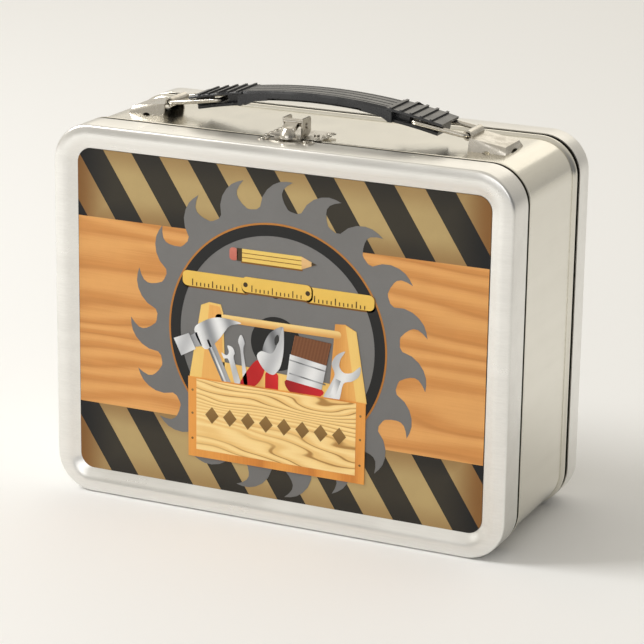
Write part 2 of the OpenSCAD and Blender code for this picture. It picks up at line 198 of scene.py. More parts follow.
def flowing(points: list, per_span: int = 5) -> np.ndarray:
    """Closed smooth outline through a few points, by Catmull-Rom spans.

    Each span is the cubic through its two points whose slopes are half the step between the neighbours.

    Args:
        points: pairs of numbers.
        per_span: points made for each span.

    Returns:
        n by 2 array.
    """
    p1 = np.array(points, float)
    p0, p2, p3 = np.roll(p1, 1, 0), np.roll(p1, -1, 0), np.roll(p1, -2, 0)
    t = np.linspace(0, 1, per_span, endpoint=False)[None, :, None]
    p0, p1, p2, p3 = (p[:, None, :] for p in (p0, p1, p2, p3))
    spans = 0.5 * (2 * p1 + (p2 - p0) * t + (2 * p0 - 5 * p1 + 4 * p2 - p3) * t**2
                   + (3 * p1 - p0 - 3 * p2 + p3) * t**3)
    return spans.reshape(-1, 2)


def bar_outline(start: tuple, end: tuple, half_start: float, half_end: float) -> np.ndarray:
    """Outline of a straight tapering bar.

    Args:
        start: middle of its first end.
        end: middle of its other end.
        half_start: half width at the first end.
        half_end: half width at the other end.

    Returns:
        4 by 2 array.
    """
    a, b = np.array(start, float), np.array(end, float)
    along = (b - a) / np.linalg.norm(b - a)
    side = np.array([-along[1], along[0]])
    return np.array([a - side * half_start, b - side * half_end, b + side * half_end, a + side * half_start])


# ---------------------------------------------------------------- shader graph


@dataclass
class Graph:
    """Writes shader nodes into one tree."""

    tree: bpy.types.NodeTree

    def add(self, kind: str, inputs: dict | None = None, **settings: object) -> bpy.types.Node:
        """Adds a node, sets its properties and fills its inputs.

        Args:
            kind: the node's type name.
            inputs: socket name or number to a value, a colour without alpha or an output socket.
            settings: properties of the node.

        Returns:
            The node.
        """
        node = self.tree.nodes.new(kind)
        for key, value in settings.items():
            setattr(node, key, value)
        for key, value in (inputs or {}).items():
            if isinstance(value, bpy.types.NodeSocket):
                self.link(value, node, key)
            else:
                node.inputs[key].default_value = (*value, 1.0) if node.inputs[key].type == "RGBA" else value
        return node

    def link(self, output: bpy.types.NodeSocket, node: bpy.types.Node, key: str | int) -> None:
        """Joins an output to one of a node's inputs."""
        self.tree.links.new(output, node.inputs[key])

    def math(self, operation: str, a: object, b: object = 0.0, c: object = 0.0) -> bpy.types.NodeSocket:
        """Result of a Math node."""
        return self.add("ShaderNodeMath", {0: a, 1: b, 2: c}, operation=operation).outputs[0]

    def plus(self, a: object, b: object) -> bpy.types.NodeSocket:
        """Sum of two values."""
        return self.math("ADD", a, b)

    def times(self, a: object, b: object) -> bpy.types.NodeSocket:
        """Product of two values."""
        return self.math("MULTIPLY", a, b)

    def away(self, a: object, b: float) -> bpy.types.NodeSocket:
        """Distance of a value from a number."""
        return self.math("ABSOLUTE", self.math("SUBTRACT", a, b))

    def mix(self, factor: object, a: object, b: object, blend: str = "MIX") -> bpy.types.NodeSocket:
        """Colour between a and b."""
        node = self.add("ShaderNodeMix", {0: factor, 6: a, 7: b}, data_type="RGBA", blend_type=blend)
        return node.outputs[2]

    def noise(self, vector: object, scale: object, detail: float = 3.0,
              rough: float = 0.5) -> bpy.types.NodeSocket:
        """Value of a noise texture."""
        inputs = {"Vector": vector, "Scale": scale, "Detail": detail, "Roughness": rough}
        return self.add("ShaderNodeTexNoise", inputs).outputs[0]

    def stretched(self, vector: object, scale: tuple, rotation: tuple = (0, 0, 0)) -> bpy.types.NodeSocket:
        """Coordinates scaled and turned by a Mapping node."""
        inputs = {"Vector": vector, "Scale": scale, "Rotation": rotation}
        return self.add("ShaderNodeMapping", inputs).outputs[0]

    def smooth(self, value: object, low: float, high: float, out_low: float = 0.0, out_high: float = 1.0):
        """Smooth step of a value between two limits."""
        inputs = {"Value": value, "From Min": low, "From Max": high, "To Min": out_low, "To Max": out_high}
        return self.add("ShaderNodeMapRange", inputs, interpolation_type="SMOOTHSTEP").outputs[0]

    def place(self) -> bpy.types.NodeSocket:
        """Object coordinates, in metres."""
        return self.add("ShaderNodeTexCoord").outputs["Object"]

    def split(self, vector: object) -> tuple:
        """The X, Y and Z of a vector."""
        return tuple(self.add("ShaderNodeSeparateXYZ", {0: vector}).outputs)


def make_group(name: str, inputs: list, outputs: list) -> tuple[Graph, bpy.types.Node, bpy.types.Node]:
    """Starts a shader node group with a named interface.

    Args:
        name: the group's name.
        inputs: (socket name, socket type, default) rows.
        outputs: (socket name, socket type) rows.

    Returns:
        The graph, its input node and its output node.
    """
    tree = bpy.data.node_groups.new(name, "ShaderNodeTree")
    for label, kind, default in inputs:
        socket = tree.interface.new_socket(label, in_out="INPUT", socket_type=kind)
        if default is not None:
            socket.default_value = (*default, 1.0) if kind == "NodeSocketColor" else default
    for label, kind in outputs:
        tree.interface.new_socket(label, in_out="OUTPUT", socket_type=kind)
    graph = Graph(tree)
    return graph, graph.add("NodeGroupInput"), graph.add("NodeGroupOutput")


@dataclass
class Effects:
    """Node groups that several finishes share."""

    grain: bpy.types.NodeTree = field(init=False)
    smudge: bpy.types.NodeTree = field(init=False)
    timber: bpy.types.NodeTree = field(init=False)
    ink: bpy.types.NodeTree = field(init=False)

    def __post_init__(self) -> None:
        """Builds every group once."""
        self.grain = self.build_grain()
        self.smudge = self.build_smudge()
        self.timber = self.build_timber()
        self.ink = self.build_ink()

    def build_grain(self) -> bpy.types.NodeTree:
        """Brushed grain: noise stretched along the rolling direction, as a mask and as a height."""
        graph, start, end = make_group(
            "brushed_grain",
            [("Vector", "NodeSocketVector", None), ("Fine", "NodeSocketFloat", 1500.0),
             ("Broad", "NodeSocketFloat", 120.0)],
            [("Mask", "NodeSocketFloat"), ("Height", "NodeSocketFloat")])
        fine = graph.noise(start.outputs["Vector"], start.outputs["Fine"], 2.0, 0.7)
        broad = graph.noise(start.outputs["Vector"], start.outputs["Broad"], 4.0, 0.6)
        mask = graph.math("MULTIPLY_ADD", fine, 0.45, graph.times(broad, 0.55))
        graph.link(mask, end, "Mask")
        graph.link(fine, end, "Height")
        return graph.tree

    def build_smudge(self) -> bpy.types.NodeTree:
        """Handling marks: soft patches with a few finer specks, as a mask from 0 to 1."""
        graph, start, end = make_group(
            "handling_marks",
            [("Vector", "NodeSocketVector", None), ("Patch", "NodeSocketFloat", 40.0),
             ("Speck", "NodeSocketFloat", 600.0)],
            [("Mask", "NodeSocketFloat")])
        patch = graph.noise(start.outputs["Vector"], start.outputs["Patch"], 5.0, 0.62)
        speck = graph.noise(start.outputs["Vector"], start.outputs["Speck"], 2.0, 0.5)
        patch = graph.smooth(patch, 0.38, 0.66)
        speck = graph.smooth(speck, 0.6, 0.72, 0.0, 0.35)
        graph.link(graph.math("MAXIMUM", patch, speck), end, "Mask")
        return graph.tree

    def build_timber(self) -> bpy.types.NodeTree:
        """Timber drawn in print: long distorted rings between two colours, with darker grain lines."""
        graph, start, end = make_group(
            "printed_timber",
            [("Vector", "NodeSocketVector", None), ("Rings", "NodeSocketFloat", 60.0),
             ("Light", "NodeSocketColor", (0.8, 0.5, 0.2)), ("Dark", "NodeSocketColor", (0.6, 0.3, 0.1)),
             ("Line", "NodeSocketColor", (0.3, 0.15, 0.05)), ("Lines", "NodeSocketFloat", 0.3),
             ("Sway", "NodeSocketFloat", 0.5), ("Swell", "NodeSocketFloat", 14.0)],
            [("Color", "NodeSocketColor")])
        sway = graph.noise(start.outputs["Vector"], start.outputs["Swell"], 2.0, 0.45)
        _, _, up = graph.split(start.outputs["Vector"])
        level = graph.plus(graph.times(up, 9.0), graph.times(sway, start.outputs["Sway"]))
        rings = graph.math("FRACT", graph.times(level, start.outputs["Rings"]))
        band = graph.smooth(graph.away(rings, 0.5), 0.0, 0.5)
        fibre = graph.noise(graph.stretched(start.outputs["Vector"], (0.16, 1, 2.2)), 900.0, 3.0, 0.6)
        tone = graph.plus(graph.times(band, 0.55), graph.times(fibre, 0.55))
        base = graph.mix(graph.smooth(tone, 0.15, 0.95), start.outputs["Light"], start.outputs["Dark"])
        line = graph.smooth(graph.away(rings, 0.88), 0.02, 0.12, 1.0, 0.0)
        line = graph.times(line, graph.times(start.outputs["Lines"], graph.smooth(sway, 0.3, 0.55)))
        graph.link(graph.mix(line, base, start.outputs["Line"]), end, "Color")
        return graph.tree

    def build_ink(self) -> bpy.types.NodeTree:
        """Printed ink: a colour with faint cloudy unevenness and fine dot grain."""
        graph, start, end = make_group(
            "printed_ink",
            [("Color", "NodeSocketColor", (0.5, 0.5, 0.5)), ("Vector", "NodeSocketVector", None),
             ("Amount", "NodeSocketFloat", 0.08)],
            [("Color", "NodeSocketColor"), ("Height", "NodeSocketFloat")])
        cloud = graph.noise(start.outputs["Vector"], 70.0, 4.0, 0.6)
        dots = graph.noise(start.outputs["Vector"], 2600.0, 1.0, 0.5)
        both = graph.plus(graph.times(cloud, 0.7), graph.times(dots, 0.3))
        dark = graph.mix(1.0, start.outputs["Color"], (0.62, 0.60, 0.58), "MULTIPLY")
        amount = graph.times(graph.smooth(both, 0.35, 0.65), start.outputs["Amount"])
        graph.link(graph.mix(amount, start.outputs["Color"], dark), end, "Color")
        graph.link(dots, end, "Height")
        return graph.tree


def new_material(name: str) -> tuple[bpy.types.Material, Graph, bpy.types.Node]:
    """Starts a material with one Principled shader.

    Args:
        name: the material's name.

    Returns:
        The material, its graph and its shader node.
    """
    material = bpy.data.materials.new(name)
    material.use_nodes = True
    return material, Graph(material.node_tree), material.node_tree.nodes["Principled BSDF"]


def bump(graph: Graph, shader: bpy.types.Node, height: object, strength: float, depth: float) -> None:
    """Feeds the shader's normal from a height.

    Args:
        graph: the material's graph.
        shader: its Principled shader.
        height: the height's socket.
        strength: how much of the bump shows.
        depth: the height of the full bump, in metres.
    """
    node = graph.add("ShaderNodeBump", {"Height": height, "Strength": strength, "Distance": depth})
    graph.link(node.outputs[0], shader, "Normal")


# ---------------------------------------------------------------- finishes


@dataclass(frozen=True)
class BrushedTin:
    """Satin tinplate with a fine rolled grain and faint handling marks."""

    name: str
    light: tuple = (0.85, 0.84, 0.81)
    dark: tuple = (0.80, 0.79, 0.76)
    rough: float = 0.30
    stretch: tuple = (0.06, 1.0, 1.0)
    # Colour of the painted shade, with a little grime, laid in the seams.
    shade_and_grime: tuple = (0.030, 0.028, 0.020)
    seams: tuple = ()
    fade: float = 0.0003

    def build(self, effects: Effects) -> bpy.types.Material:
        """Makes the material: painted shade, with a little grime, darkens each seam between two depths."""
        material, graph, shader = new_material(self.name)
        place = graph.place()
        grain = graph.add("ShaderNodeGroup", {"Vector": graph.stretched(place, self.stretch)},
                          node_tree=effects.grain)
        marks = graph.add("ShaderNodeGroup", {"Vector": place}, node_tree=effects.smudge)
        tone = graph.mix(graph.smooth(grain.outputs[0], 0.38, 0.64), self.light, self.dark)
        rough = graph.plus(self.rough - 0.05, graph.times(grain.outputs[0], 0.06))
        rough = graph.plus(rough, graph.times(marks.outputs[0], 0.05))
        _, depth, _ = graph.split(place)
        # Painted shade: each seam is darkened where its narrow gap between parts lies in shadow; a little grime
        # is in it too.
        for start, end in self.seams:
            seam_shade = graph.times(graph.smooth(depth, start - self.fade, start),
                              graph.smooth(depth, end + self.fade, end))
            tone = graph.mix(seam_shade, tone, self.shade_and_grime)
            rough = graph.math("MULTIPLY_ADD", seam_shade, 0.3, rough)
        graph.link(tone, shader, "Base Color")
        graph.link(rough, shader, "Roughness")
        shader.inputs["Metallic"].default_value = 1.0
        bump(graph, shader, grain.outputs["Height"], 0.05, 0.00003)
        return material


@dataclass(frozen=True)
class NickelPlate:
    """Bright nickel plate with soft stains and slightly dull patches."""

    name: str
    light: tuple = (0.68, 0.645, 0.58)
    dark: tuple = (0.42, 0.385, 0.32)
    rough: float = 0.16

    def build(self, effects: Effects) -> bpy.types.Material:
        """Makes the material."""
        material, graph, shader = new_material(self.name)
        place = graph.place()
        marks = graph.add("ShaderNodeGroup", {"Vector": place, "Patch": 180.0, "Speck": 1500.0},
                          node_tree=effects.smudge)
        tone = graph.mix(graph.times(marks.outputs[0], 0.5), self.light, self.dark)
        graph.link(tone, shader, "Base Color")
        rough = graph.math("MULTIPLY_ADD", marks.outputs[0], 0.14, self.rough)
        graph.link(rough, shader, "Roughness")
        shader.inputs["Metallic"].default_value = 1.0
        bump(graph, shader, graph.noise(place, 900.0, 2.0), 0.05, 0.00002)
        return material


@dataclass(frozen=True)
class MouldedPlastic:
    """Black moulded plastic with a fine spark-eroded texture and rubbed patches."""

    name: str
    colour: tuple = (0.014, 0.015, 0.018)
    rubbed: tuple = (0.032, 0.033, 0.036)
    rough: float = 0.20

    def build(self, effects: Effects) -> bpy.types.Material:
        """Makes the material."""
        material, graph, shader = new_material(self.name)
        place = graph.place()
        marks = graph.add("ShaderNodeGroup", {"Vector": place, "Patch": 90.0, "Speck": 1100.0},
                          node_tree=effects.smudge)
        graph.link(graph.mix(marks.outputs[0], self.colour, self.rubbed), shader, "Base Color")
        graph.link(graph.math("MULTIPLY_ADD", marks.outputs[0], 0.12, self.rough), shader, "Roughness")
        shader.inputs["Specular IOR Level"].default_value = 0.6
        bump(graph, shader, graph.noise(place, 2400.0, 2.0, 0.6), 0.18, 0.00006)
        return material


def lay_ink(graph: Graph, shader: bpy.types.Node, effects: Effects, colour: object, amount: float) -> None:
    """Prints a colour: faint clouds in its tone and dot grain in its gloss.

    Args:
        graph: the material's graph.
        shader: its Principled shader.
        effects: the shared node groups.
        colour: the colour's socket.
        amount: how uneven the ink is.
    """
    ink = graph.add("ShaderNodeGroup", {"Color": colour, "Vector": graph.place(), "Amount": amount},
                    node_tree=effects.ink)
    graph.link(ink.outputs["Color"], shader, "Base Color")
    graph.link(graph.math("MULTIPLY_ADD", ink.outputs["Height"], 0.10, 0.32), shader, "Roughness")
    shader.inputs["Specular IOR Level"].default_value = 0.3


@dataclass(frozen=True)
class StripedPrint:
    """Slanted warning stripes, tan and near-black, that darken towards the picture's edges."""

    name: str
    period: float
    slope: float
    high_start: tuple
    low_start: tuple
    dark_share: float
    half_w: float
    low_z: float
    high_z: float
    plank_low: float
    plank_high: float
    lead: int = 20
    side_fade: float = 0.022
    rim_fade: float = 0.012
    rim_share: float = 0.45
    plank_share: float = 0.6
    tan: tuple = (0.49, 0.355, 0.155)
    brown: tuple = (0.235, 0.105, 0.026)
    dark: tuple = (0.036, 0.030, 0.020)
    black: tuple = (0.005, 0.005, 0.006)

    def build(self, effects: Effects) -> bpy.types.Material:
        """Makes the material: a stripe's number is the whole part of its shifted x over the period.

        The stripes start a lead of whole periods to the left of the picture, so none has a number below 0.
        """
        material, graph, shader = new_material(self.name)
        x, _, z = graph.split(graph.place())
        run = graph.math("MULTIPLY_ADD", z, 1 / self.slope, x)
        high, low = (start[0] + start[1] / self.slope - self.lead * self.period
                     for start in (self.high_start, self.low_start))
        above = graph.math("GREATER_THAN", z, (self.plank_low + self.plank_high) / 2)
        start = graph.math("MULTIPLY_ADD", above, high - low, low)
        phase = graph.math("FRACT", graph.math("DIVIDE", graph.math("SUBTRACT", run, start), self.period))
        is_dark = graph.math("LESS_THAN", phase, self.dark_share)
        side = graph.smooth(graph.math("ABSOLUTE", x), self.half_w - self.side_fade, self.half_w)
        top = graph.smooth(z, self.high_z - self.rim_fade, self.high_z)
        bottom = graph.smooth(z, self.low_z + self.rim_fade, self.low_z)
        over = graph.smooth(graph.away(z, self.plank_high), self.rim_fade, 0.0)
        under = graph.smooth(graph.away(z, self.plank_low), self.rim_fade, 0.0)
        rims = graph.times(graph.math("MAXIMUM", top, bottom), self.rim_share)
        planks = graph.times(graph.math("MAXIMUM", over, under), self.plank_share)
        edge = graph.math("MAXIMUM", side, graph.math("MAXIMUM", rims, planks))
        edge = graph.math("MINIMUM", edge, 1.0)
        pale = graph.mix(edge, self.tan, self.brown)
        deep = graph.mix(edge, self.dark, self.black)
        lay_ink(graph, shader, effects, graph.mix(is_dark, pale, deep), 0.16)
        return material


@dataclass(frozen=True)
class TimberPrint:
    """Printed timber with rings and grain lines that run across the picture."""

    name: str
    rings: float
    light: tuple
    dark: tuple
    line: tuple
    lines: float
    stretch: tuple = (0.35, 1.0, 1.0)
    turn: float = 0.0
    sway: float = 1.35
    swell: float = 14.0

    def build(self, effects: Effects) -> bpy.types.Material:
        """Makes the material."""
        material, graph, shader = new_material(self.name)
        inputs = {"Rings": self.rings, "Light": self.light, "Dark": self.dark, "Line": self.line,
                  "Lines": self.lines, "Sway": self.sway, "Swell": self.swell}
        timber = graph.add("ShaderNodeGroup", inputs, node_tree=effects.timber)
        turned = graph.stretched(graph.place(), (1, 1, 1), (0, self.turn, 0))
        graph.link(graph.stretched(turned, self.stretch), timber, "Vector")
        lay_ink(graph, shader, effects, timber.outputs[0], 0.12)
        return material


@dataclass(frozen=True)
class InkPrint:
    """A printed colour that fades evenly into a second one along a direction."""

    name: str
    first: tuple
    second: tuple
    along: tuple = (0.0, 1.0)
    span: tuple = (0.0, 1.0)
    waves: float = 0.0

    def build(self, effects: Effects) -> bpy.types.Material:
        """Makes the material: the fade runs over span, measured along the direction."""
        material, graph, shader = new_material(self.name)
        x, _, z = graph.split(graph.place())
        run = graph.plus(graph.times(x, self.along[0]), graph.times(z, self.along[1]))
        fade = graph.smooth(run, self.span[0], self.span[1])
        if self.waves:
            wave = graph.math("SINE", graph.times(run, self.waves))
            fade = graph.math("MULTIPLY_ADD", wave, 0.5, 0.5)
        lay_ink(graph, shader, effects, graph.mix(fade, self.first, self.second), 0.14)
        return material


@dataclass(frozen=True)
class PalePaper:
    """Plain pale sheet that the box stands on."""

    name: str = "pale_sheet"
    colour: tuple = (0.91, 0.91, 0.905)
    cloudy: tuple = (0.86, 0.86, 0.855)
    reach: float = 0.15
    clear_at: float = 0.90
    solid_at: float = 0.99

    def build(self, effects: Effects) -> bpy.types.Material:
        """Makes the material: the sheet clears over anything that swings down below it."""
        material, graph, shader = new_material(self.name)
        cloud = graph.noise(graph.place(), 3.0, 2.0)
        shade = graph.mix(graph.times(cloud, 0.05), self.colour, self.cloudy)
        graph.link(shade, shader, "Base Color")
        shader.inputs["Roughness"].default_value = 0.85
        shader.inputs["Specular IOR Level"].default_value = 0.2
        below = graph.add("ShaderNodeAmbientOcclusion", {"Distance": self.reach}, inside=True, samples=24)
        graph.link(graph.smooth(below.outputs["AO"], self.clear_at, self.solid_at), shader, "Alpha")
        return material


@dataclass
class Finishes:
    """Every finish of the box, by a maker's name."""

    effects: Effects
    made: dict = field(default_factory=dict)

    def get(self, finish: object) -> bpy.types.Material:
        """The material of a finish, made the first time that it is asked for.

        Args:
            finish: one of the finish dataclasses.

        Returns:
            The material.
        """
        if finish.name not in self.made:
            self.made[finish.name] = finish.build(self.effects)
        return self.made[finish.name]


# ---------------------------------------------------------------- pressed metal


@dataclass
class PressedShell:
    """Smooth-shaded skins that stand for the pressed CAD nodes."""

    finishes: Finishes
    slots: dict = field(default_factory=dict)
    skins: int = 0

    def dress(self, node: str, body: str, finish: object, soften: float = 0.0,
              sharp_deg: float = 32.0) -> None:
        """Copies a node's mesh, merges it, rounds its edges and shades it smooth.

        Args:
            node: the CAD node that the skin stands for.
            body: the body it rides on.
            finish: its finish.
            soften: radius of the rounded edges, in metres.
            sharp_deg: edges that turn by more than this stay sharp.
        """
        source = frame["nodes"][node]
        piece = bpy.data.objects.new(node + "_skin", source.data.copy())
        bpy.context.scene.collection.objects.link(piece)
        mesh = piece.data
        mesh.materials.clear()
        mesh.materials.append(self.finishes.get(finish))
        work = bmesh.new()
        work.from_mesh(mesh)
        bmesh.ops.remove_doubles(work, verts=work.verts, dist=1e-6)
        bmesh.ops.dissolve_limit(work, angle_limit=math.radians(0.5), verts=work.verts, edges=work.edges)
        work.to_mesh(mesh)
        work.free()
        if mesh.has_custom_normals:
            mesh.attributes.remove(mesh.attributes["custom_normal"])
        mesh.polygons.foreach_set("material_index", np.zeros(len(mesh.polygons), np.int32))
        mesh.shade_smooth()
        mesh.set_sharp_from_angle(angle=math.radians(sharp_deg))
        if soften > 0:
            bevel = piece.modifiers.new("soft_edges", "BEVEL")
            bevel.width = soften
            bevel.segments = 2
            bevel.limit_method = "ANGLE"
            bevel.angle_limit = math.radians(35)
            bevel.harden_normals = False
        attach(piece, body)
        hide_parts(node)
        self.skins += 1


# ---------------------------------------------------------------- picture


@dataclass
class Picture:
    """Print on the front panel: stripes, a plank, a saw blade and a tote of hand tools.

    Lengths are in millimetres on the panel: x from the box's middle, z above its underside.
    """

    finishes: Finishes
    body: str = "lid"
    centre_z: float = 85.8
    tip_r: float = 73.0
    gullet_r: float = 59.6
    tooth_count: int = 19
    first_tip: float = 84.3
    hub_r: float = 52.6
    hub_width: float = 5.0
    plank_low: float = 43.2
    plank_high: float = 131.4
    ink_step: float = 0.05
    made: int = 0
    panel_y: float = field(init=False)
    half_w: float = field(init=False)
    low_z: float = field(init=False)
    high_z: float = field(init=False)

    def __post_init__(self) -> None:
        """Takes the panel's face, half width and height from the frame."""
        low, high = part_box("front_picture_panel")
        self.panel_y = low[1] / MM
        self.half_w = high[0] / MM
        self.low_z, self.high_z = low[2] / MM, high[2] / MM

    def depths(self, layer: Layer) -> tuple[float, float]:
        """How far forward a layer's plates start and end."""
        return self.panel_y - self.ink_step * layer.value, self.panel_y + self.ink_step

    def lay(self, name: str, verts: np.ndarray, faces: list, finish: object) -> bpy.types.Object:
        """Adds one printed piece, given in millimetres, that moves with the panel."""
        piece = add_object("printed_" + name, verts * MM, faces, self.body, self.finishes.get(finish))
        self.made += 1
        return piece

    def inlay(self, name: str, outlines: np.ndarray | list, layer: Layer, finish: object) -> None:
        """Lays thin closed plates of one ink on the panel, all in one piece.

        Args:
            name: the piece's name, after "printed_".
            outlines: one n by 2 outline of x and z, either way round, or a list of such arrays.
            layer: its place in the printing order.
            finish: its ink.
        """
        many = isinstance(outlines, list) and isinstance(outlines[0], np.ndarray)
        verts, faces, first = [], [], 0
        for outline in outlines if many else [np.asarray(outlines, float)]:
            turned = np.roll(outline, -1, 0)
            if np.sum(outline[:, 0] * turned[:, 1] - turned[:, 0] * outline[:, 1]) < 0:
                outline = outline[::-1]
            count = len(outline)
            for depth in self.depths(layer):
                verts.append(np.stack([outline[:, 0], np.full(count, depth), outline[:, 1]], -1))
            ring = np.arange(count)
            step = (ring + 1) % count
            faces += [(first + ring).tolist(), (first + count + ring[::-1]).tolist()]
            faces += (first + np.stack([ring, ring + count, step + count, step], -1)).tolist()
            first += 2 * count
        self.lay(name, np.concatenate(verts), faces, finish)

    def ring(self, name: str, outer: float, inner: float, layer: Layer, finish: object) -> None:
        """Lays a thin flat ring round the blade's centre.

        Args:
            name: the piece's name, after "printed_".
            outer: outer radius.
            inner: inner radius.
            layer: its place in the printing order.
            finish: its ink.
        """
        steps = 120
        turn = np.linspace(0, 2 * np.pi, steps, endpoint=False)[:, None]
        front, back = self.depths(layer)
        radius = np.array([outer, inner, inner, outer])[None, :]
        depth = np.broadcast_to(np.array([front, front, back, back])[None, :], (steps, 4))
        grid = np.stack([radius * np.cos(turn), depth, self.centre_z + radius * np.sin(turn)], -1)
        verts, faces = sweep(grid, closed_path=True)
        recalc(self.lay(name, verts, faces, finish), sharp_deg=30)

    def disc(self, name: str, cx: float, cz: float, radius: float, layer: Layer, finish: object) -> None:
        """Lays a thin disc."""
        self.inlay(name, arc(cx, cz, radius, 0, 355, 71), layer, finish)

    def blade_outline(self) -> np.ndarray:
        """Hooked saw teeth: each has a bowed back, a hollow front and a flat gullet.

        A tooth's points are degrees past its tip and height above the gullet as a share of its depth.

        Returns:
            n by 2 array of the blade's whole outline.
        """
        pitch = 360 / self.tooth_count
        depth = self.tip_r - self.gullet_r
        back = np.array([(0.0, 1.0), (2.4, 0.99), (4.8, 0.95), (7.4, 0.84), (10.0, 0.66), (12.2, 0.41),
                         (13.7, 0.08)])
        floor = np.array([(15.6, 0.0), (18.6, 0.02)])
        front = np.array([(19.9, 0.06), (21.6, 0.24), (22.6, 0.42), (22.9, 0.56), (22.4, 0.71), (20.9, 0.86)])
        tooth = np.concatenate([back, floor, front])
        angle = np.radians(self.first_tip + pitch * np.arange(self.tooth_count)[:, None] + tooth[None, :, 0])
        radius = np.broadcast_to(self.gullet_r + depth * tooth[None, :, 1], angle.shape)
        points = np.stack([radius * np.cos(angle), self.centre_z + radius * np.sin(angle)], -1)
        return points.reshape(-1, 2)

    def dress_panel(self) -> None:
        """Gives the panel itself the striped print."""
        stripes = StripedPrint(
            name="striped_print", period=0.02835, slope=1.5625, high_start=(-0.012, 0.157),
            low_start=(-0.003, 0.018), dark_share=0.495,
            half_w=self.half_w * MM, low_z=self.low_z * MM, high_z=self.high_z * MM,
            plank_low=self.plank_low * MM, plank_high=self.plank_high * MM)
        panel = frame["nodes"]["front_picture_panel"]
        panel.data.materials.clear()
        panel.data.materials.append(self.finishes.get(stripes))

    def build_plank(self) -> None:
        """The orange plank across the middle."""
        wood = TimberPrint("plank_print", 11.0, (0.79, 0.395, 0.128), (0.64, 0.275, 0.073),
                           (0.42, 0.15, 0.033), 0.30, (0.22, 1.0, 1.0), sway=0.55, swell=22.0)
        edge = self.half_w - 0.2
        self.inlay("plank", [(-edge, self.plank_low), (edge, self.plank_low), (edge, self.plank_high),
                             (-edge, self.plank_high)], Layer.PLANK, wood)

    def build_blade(self) -> None:
        """The saw blade with its black hub ring and holes."""
        steel = InkPrint("blade_ink", (0.172, 0.170, 0.168), (0.190, 0.187, 0.184), (0.3, 1.0), (0.02, 0.15))
        face = InkPrint("blade_face_ink", (0.165, 0.163, 0.161), (0.196, 0.193, 0.190), (0.5, 1.0),
                        (0.03, 0.14))
        black = InkPrint("black_ink", (0.010, 0.010, 0.010), (0.014, 0.014, 0.014), (0, 1), (0.03, 0.14))
        rust = InkPrint("rust_ink", (0.45, 0.165, 0.025), (0.50, 0.20, 0.04), (0, 1), (0.03, 0.14))
        self.inlay("blade", self.blade_outline(), Layer.BLADE, steel)
        self.ring("hub_line", self.hub_r + 0.9, self.hub_r - 0.6, Layer.HUB_LINE, rust)
        self.ring("hub_ring", self.hub_r, self.hub_r - self.hub_width, Layer.HUB, black)
        self.disc("hub_face", 0, self.centre_z, self.hub_r - self.hub_width + 0.3, Layer.HUB_LINE, face)
        self.disc("arbor_hole", 0, self.centre_z - 1.5, 12.4, Layer.HUB, black)
        self.disc("pin_hole", -0.4, 107.3, 2.3, Layer.HUB, black)

    def build_signs(self) -> None:
        """A plain folding rule and a pencil where a shop's sign would be."""
        yellow = InkPrint("rule_ink", (0.86, 0.55, 0.105), (0.90, 0.64, 0.17), (0, 1), (0.104, 0.130))
        brown = InkPrint("rule_shade_ink", (0.20, 0.085, 0.014), (0.26, 0.115, 0.02), (0, 1), (0.1, 0.13))
        graphite = InkPrint("tick_ink", (0.05, 0.03, 0.012), (0.07, 0.045, 0.02), (0, 1), (0.1, 0.13))
        rose = InkPrint("eraser_ink", (0.55, 0.14, 0.10), (0.66, 0.22, 0.16), (0, 1), (0.118, 0.128))
        ticks = []
        half_high = 3.5
        laps = [(-46.5, -13.5, 105.6, Layer.SIGN, Layer.HUB), (-17.0, 17.0, 106.3, Layer.BACK, Layer.SIGN),
                (13.5, 47.0, 105.6, Layer.SIGN, Layer.HUB)]
        for lap, (left, right, low, layer, under) in enumerate(laps):
            half_long = (right - left) / 2
            middle = np.array([(left + right) / 2, low + half_high])
            self.inlay(f"rule_shade_{lap}", rounded_rect(half_long + 0.4, half_high + 0.4, 2.6)
                       + middle + [0.3, -0.4], under, brown)
            self.inlay(f"rule_{lap}", rounded_rect(half_long, half_high, 2.4) + middle, layer, yellow)
            for number, x in enumerate(np.arange(left + 5.0, right - 4.0, 2.0)):
                length = 3.4 if number % 5 == 0 else 2.0
                ticks.append(bar_outline((x, low + 0.4), (x, low + length), 0.22, 0.22))
        ticks += [arc(x, 109.6, 1.1, 0, 345, 23) for x in (-15.2, 15.2)]
        self.inlay("rule_marks", ticks, Layer.TOOL_LOW, graphite)
        self.inlay("pencil_shade", bar_outline((-17.5, 122.6), (12.5, 122.6), 3.3, 3.3), Layer.HUB, brown)
        self.inlay("pencil", bar_outline((-17.0, 123.0), (12.0, 123.0), 2.9, 2.9), Layer.SIGN, yellow)
        self.inlay("pencil_cone", [(12.0, 120.1), (19.0, 123.0), (12.0, 125.9)], Layer.SIGN,
                   TimberPrint("pencil_wood_print", 3.0, (0.86, 0.58, 0.28), (0.72, 0.42, 0.17),
                       (0.4, 0.2, 0.08), 0.3))
        self.inlay("pencil_lead", [(16.8, 122.1), (19.2, 123.0), (16.8, 123.9)], Layer.BACK, graphite)
        self.inlay("pencil_band", bar_outline((-19.6, 123.0), (-17.0, 123.0), 2.9, 2.9), Layer.SIGN, graphite)
        self.inlay("pencil_rubber", rounded_rect(2.0, 2.9, 1.5) + [-21.2, 123.0], Layer.SIGN, rose)
        lines = [bar_outline((-17.0, z), (12.0, z), 0.16, 0.16) for z in (122.0, 124.0)]
        self.inlay("pencil_lines", lines, Layer.BACK, brown)

